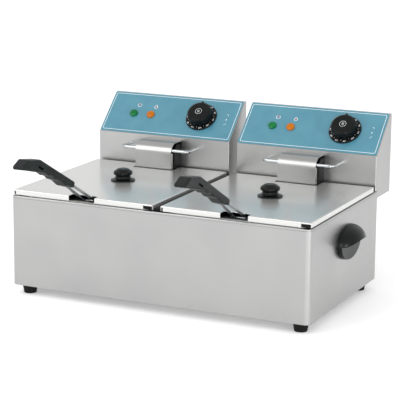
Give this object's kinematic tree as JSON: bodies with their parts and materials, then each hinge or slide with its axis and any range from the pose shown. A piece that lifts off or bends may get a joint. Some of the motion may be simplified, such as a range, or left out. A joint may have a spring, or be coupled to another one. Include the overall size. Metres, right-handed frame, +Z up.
{
  "type": "deep fryer",
  "caption": "Counter-top twin-tank electric deep fryer with removable control heads, lids with round knobs, and wire baskets with long angled handles.",
  "frame": {"origin": "on the ground under the middle of the overall box", "axes": "+X to the right seen from the front, +Y to the back, +Z up"},
  "size_m": [0.6178, 0.612, 0.3061],
  "materials": {
    "steel": "satin brushed stainless sheet",
    "tank_steel": "drawn stainless, satin",
    "lid_steel": "near-mirror stainless sheet",
    "screw_steel": "plain steel screws",
    "element_steel": "dull tubular heater sheath",
    "hanger_chrome": "bright chrome-plated wire",
    "basket_wire": "chrome-plated wire",
    "bulb_copper": "copper sensor bulb",
    "panel_blue": "printed light blue panel, satin",
    "knob_plastic": "black moulded plastic, soft gloss",
    "handle_plastic": "black moulded plastic, gloss",
    "grip_plastic": "dark grey-green heat-resistant plastic",
    "fitting_dark": "black moulded plastic",
    "terminal_white": "ceramic-filled terminal bar",
    "reset_red": "red push button",
    "lamp_green": "green translucent lens",
    "lamp_orange": "orange translucent lens",
    "foot_rubber": "black rubber"
  },
  "bodies": {
    "casing": {"outer_casing": "steel", "top_deck": "steel", "base_plate": "steel", "rubber_feet": "foot_rubber", "foot_screws": "screw_steel", "side_handle_left": "handle_plastic", "side_handle_right": "handle_plastic", "side_handle_screws": "screw_steel", "centre_rail": "steel"},
    "tank_left": {"oil_tank_left": "tank_steel"},
    "head_left": {"head_housing_left": "steel", "head_back_cover_left": "steel", "control_panel_left": "panel_blue", "thermostat_left": "fitting_dark", "lamp_green_left": "lamp_green", "lamp_orange_left": "lamp_orange", "limit_thermostat_left": "fitting_dark", "terminal_block_left": "terminal_white", "cable_gland_left": "fitting_dark", "heating_element_left": "element_steel", "element_block_left": "fitting_dark", "element_guard_left": "steel", "basket_hanger_left": "hanger_chrome", "sensor_bulb_left": "bulb_copper", "cover_screws_left": "screw_steel"},
    "dial_left": {"thermostat_knob_left": "knob_plastic"},
    "reset_left": {"reset_button_left": "reset_red"},
    "lid_left": {"lid_pan_left": "lid_steel", "lid_knob_left": "knob_plastic", "lid_knob_screw_left": "screw_steel"},
    "basket_left": {"basket_mesh_left": "basket_wire", "basket_rim_left": "basket_wire", "basket_bracket_left": "basket_wire", "basket_grip_left": "grip_plastic"},
    "tank_right": {"oil_tank_right": "tank_steel"},
    "head_right": {"head_housing_right": "steel", "head_back_cover_right": "steel", "control_panel_right": "panel_blue", "thermostat_right": "fitting_dark", "lamp_green_right": "lamp_green", "lamp_orange_right": "lamp_orange", "limit_thermostat_right": "fitting_dark", "terminal_block_right": "terminal_white", "cable_gland_right": "fitting_dark", "heating_element_right": "element_steel", "element_block_right": "fitting_dark", "element_guard_right": "steel", "basket_hanger_right": "hanger_chrome", "sensor_bulb_right": "bulb_copper", "cover_screws_right": "screw_steel"},
    "dial_right": {"thermostat_knob_right": "knob_plastic"},
    "reset_right": {"reset_button_right": "reset_red"},
    "lid_right": {"lid_pan_right": "lid_steel", "lid_knob_right": "knob_plastic", "lid_knob_screw_right": "screw_steel"},
    "basket_right": {"basket_mesh_right": "basket_wire", "basket_rim_right": "basket_wire", "basket_bracket_right": "basket_wire", "basket_grip_right": "grip_plastic"}
  },
  "joints": [
    {"name": "tank_lift_left", "type": "slide", "parent": "casing", "child": "tank_left", "axis": [0, 0, 1], "range_m": [0, 0.16]},
    {"name": "head_lift_left", "type": "slide", "parent": "tank_left", "child": "head_left", "axis": [0, 0, 1], "range_m": [0, 0.16]},
    {"name": "dial_turn_left", "type": "hinge", "parent": "head_left", "child": "dial_left", "pos_m": [-0.0805, 0.24954, 0.27513], "axis": [0, 0.6884, -0.7254], "range_deg": [0, 270]},
    {"name": "reset_press_left", "type": "slide", "parent": "head_left", "child": "reset_left", "axis": [0, -1, 0], "range_m": [0, 0.002], "stiffness_N_per_m": 200},
    {"name": "lid_swing_left", "type": "hinge", "parent": "head_left", "child": "lid_left", "pos_m": [-0.1425, 0.294, 0.367], "axis": [-1, 0, 0], "range_deg": [0, 90]},
    {"name": "basket_lift_left", "type": "slide", "parent": "head_left", "child": "basket_left", "axis": [0, 0, 1], "range_m": [0, 0.12]},
    {"name": "tank_lift_right", "type": "slide", "parent": "casing", "child": "tank_right", "axis": [0, 0, 1], "range_m": [0, 0.16]},
    {"name": "head_lift_right", "type": "slide", "parent": "tank_right", "child": "head_right", "axis": [0, 0, 1], "range_m": [0, 0.16]},
    {"name": "dial_turn_right", "type": "hinge", "parent": "head_right", "child": "dial_right", "pos_m": [0.2045, 0.24954, 0.27513], "axis": [0, 0.6884, -0.7254], "range_deg": [0, 270]},
    {"name": "reset_press_right", "type": "slide", "parent": "head_right", "child": "reset_right", "axis": [0, -1, 0], "range_m": [0, 0.002], "stiffness_N_per_m": 200},
    {"name": "lid_swing_right", "type": "hinge", "parent": "head_right", "child": "lid_right", "pos_m": [0.1425, 0.294, 0.367], "axis": [-1, 0, 0], "range_deg": [0, 90]},
    {"name": "basket_lift_right", "type": "slide", "parent": "head_right", "child": "basket_right", "axis": [0, 0, 1], "range_m": [0, 0.12]}
  ],
  "couplings": [
    {"joint": "basket_lift_left", "follows": "lid_swing_left", "m_per_rad": 0.0763},
    {"joint": "basket_lift_right", "follows": "lid_swing_right", "m_per_rad": 0.0763}
  ]
}
